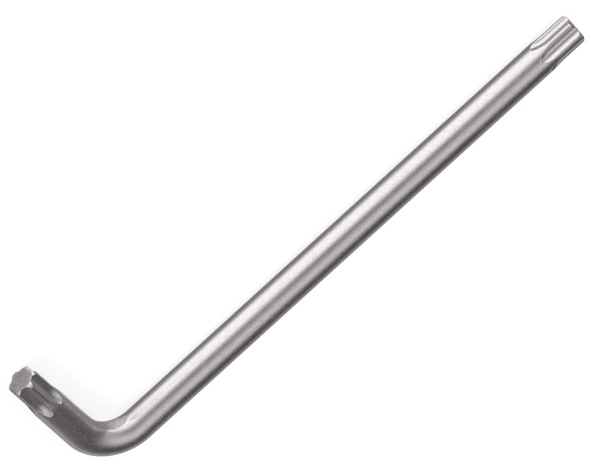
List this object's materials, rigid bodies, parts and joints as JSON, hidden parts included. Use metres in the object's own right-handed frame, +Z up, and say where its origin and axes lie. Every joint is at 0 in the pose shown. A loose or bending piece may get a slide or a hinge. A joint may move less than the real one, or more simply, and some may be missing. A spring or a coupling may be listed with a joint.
{
  "type": "star key",
  "caption": "L-shaped hand key bent from round steel bar, with a fluted star tip on the long arm and on the short arm, for turning star-recess screws.",
  "frame": {"origin": "on the surface that the key lies flat on, under the middle of its outer box", "axes": "+X along the long arm towards its tip, +Y along the short arm towards its tip, +Z up, square to the plane of the L"},
  "size_m": [0.13, 0.033, 0.007],
  "materials": {
    "plated_steel": "satin plating on hardened steel, bright, with fine lines along the bar and slightly worn lobe edges"
  },
  "bodies": {
    "root": {"key": "plated_steel"}
  },
  "joints": []
}
